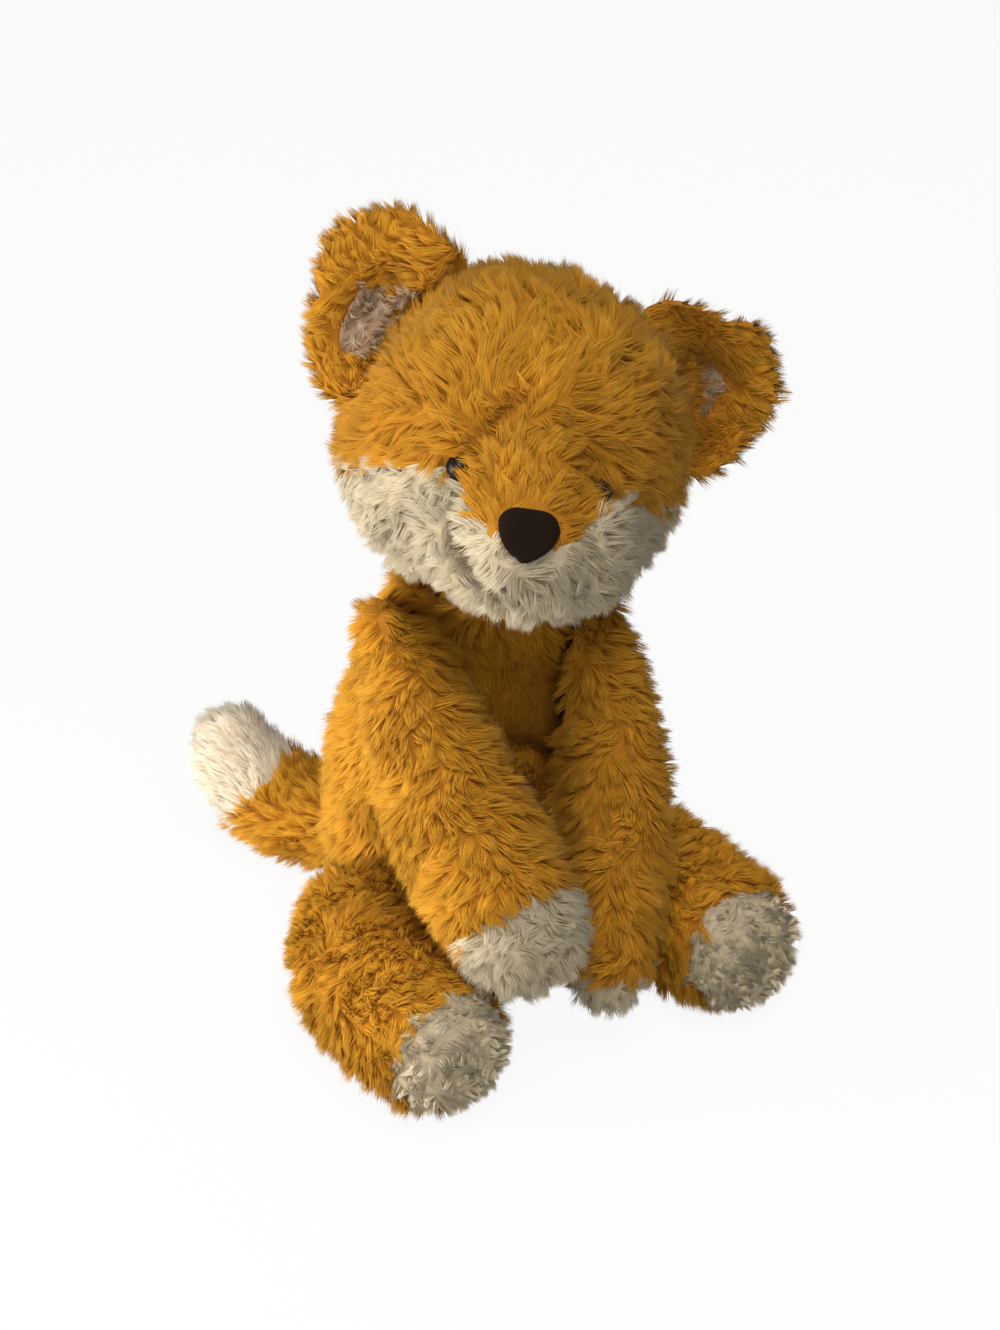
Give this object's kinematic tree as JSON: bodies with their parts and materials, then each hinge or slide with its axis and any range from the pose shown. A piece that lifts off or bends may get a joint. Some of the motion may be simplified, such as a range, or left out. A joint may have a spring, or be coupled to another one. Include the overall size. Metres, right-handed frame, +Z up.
{
  "type": "plush fox",
  "caption": "Seated plush fox with a turned head, hanging arms, splayed legs and a curled tail, sewn from plush panels over fibre filling.",
  "frame": {"origin": "middle of the flat patch of the seat that rests on the surface", "axes": "+Z up, the fox faces -Y, and its own left side is +X"},
  "size_m": [0.1878, 0.2599, 0.3018],
  "materials": {
    "amber_plush": "long matt pile in curly tufts, golden amber with lighter tips",
    "white_plush": "short curly matt pile, off-white",
    "cream_plush": "long matt pile, cream white",
    "inner_ear_plush": "short matt pile, pinkish off-white",
    "nose_cloth": "smooth matt cloth, dark brown",
    "eye_plastic": "polished black",
    "washer_plastic": "matt off-white",
    "fibre_fill": "loose polyester fibre, white",
    "bead_pouch": "woven bag filled with plastic beads"
  },
  "bodies": {
    "torso": {"torso_skin": "amber_plush", "seat_panel": "amber_plush", "torso_filling": "fibre_fill", "bead_pouch": "bead_pouch"},
    "neck": {"neck_filling": "fibre_fill"},
    "head": {"head_crown": "amber_plush", "cheek_right": "white_plush", "cheek_left": "white_plush", "head_filling": "fibre_fill", "muzzle": "white_plush", "muzzle_bridge": "amber_plush", "muzzle_filling": "fibre_fill", "nose": "nose_cloth", "eye_right": "eye_plastic", "eye_washer_right": "washer_plastic", "eye_left": "eye_plastic", "eye_washer_left": "washer_plastic"},
    "ear_right": {"ear_right": "amber_plush", "inner_ear_right": "inner_ear_plush"},
    "ear_left": {"ear_left": "amber_plush", "inner_ear_left": "inner_ear_plush"},
    "arm_right": {"arm_skin_right": "amber_plush", "paw_right": "white_plush", "arm_filling_right": "fibre_fill"},
    "arm_left": {"arm_skin_left": "amber_plush", "paw_left": "white_plush", "arm_filling_left": "fibre_fill"},
    "leg_right": {"leg_skin_right": "amber_plush", "foot_sole_right": "white_plush", "leg_filling_right": "fibre_fill"},
    "leg_left": {"leg_skin_left": "amber_plush", "foot_sole_left": "white_plush", "leg_filling_left": "fibre_fill"},
    "tail": {"tail_base": "amber_plush", "tail_tip": "cream_plush", "tail_filling": "fibre_fill"}
  },
  "joints": [
    {"name": "neck_turn", "type": "hinge", "parent": "torso", "child": "neck", "pos_m": [0, -0.0108, 0.17098], "axis": [0, 0, 1], "range_deg": [-25, 40], "stiffness_Nm_per_rad": 0.6},
    {"name": "head_nod", "type": "hinge", "parent": "neck", "child": "head", "pos_m": [0, -0.0108, 0.17098], "axis": [0.9272, -0.3746, 0], "range_deg": [-12, 6], "stiffness_Nm_per_rad": 0.8},
    {"name": "ear_right_fold", "type": "hinge", "parent": "head", "child": "ear_right", "pos_m": [-0.04646, 0.0039, 0.24153], "axis": [0.8845, -0.3681, 0.2868], "range_deg": [-20, 20], "stiffness_Nm_per_rad": 0.05},
    {"name": "ear_left_fold", "type": "hinge", "parent": "head", "child": "ear_left", "pos_m": [0.05906, -0.04322, 0.23348], "axis": [0.1967, -0.0099, -0.9804], "range_deg": [-20, 20], "stiffness_Nm_per_rad": 0.05},
    {"name": "arm_right_swing", "type": "hinge", "parent": "torso", "child": "arm_right", "pos_m": [-0.04026, -0.018, 0.15823], "axis": [-0.8, 0.6, 0], "range_deg": [0, 45]},
    {"name": "arm_left_swing", "type": "hinge", "parent": "torso", "child": "arm_left", "pos_m": [0.03111, -0.018, 0.15823], "axis": [-0.9929, -0.1191, 0], "range_deg": [0, 40]},
    {"name": "leg_right_splay", "type": "hinge", "parent": "torso", "child": "leg_right", "pos_m": [-0.05368, 0.012, 0.0335], "axis": [0, 0, -1], "range_deg": [0, 25]},
    {"name": "leg_left_splay", "type": "hinge", "parent": "torso", "child": "leg_left", "pos_m": [0.05368, 0.012, 0.0335], "axis": [0, 0, 1], "range_deg": [0, 25]},
    {"name": "tail_swing", "type": "hinge", "parent": "torso", "child": "tail", "pos_m": [0.012, 0.05796, 0.02606], "axis": [0, 0, -1], "range_deg": [0, 60]}
  ]
}
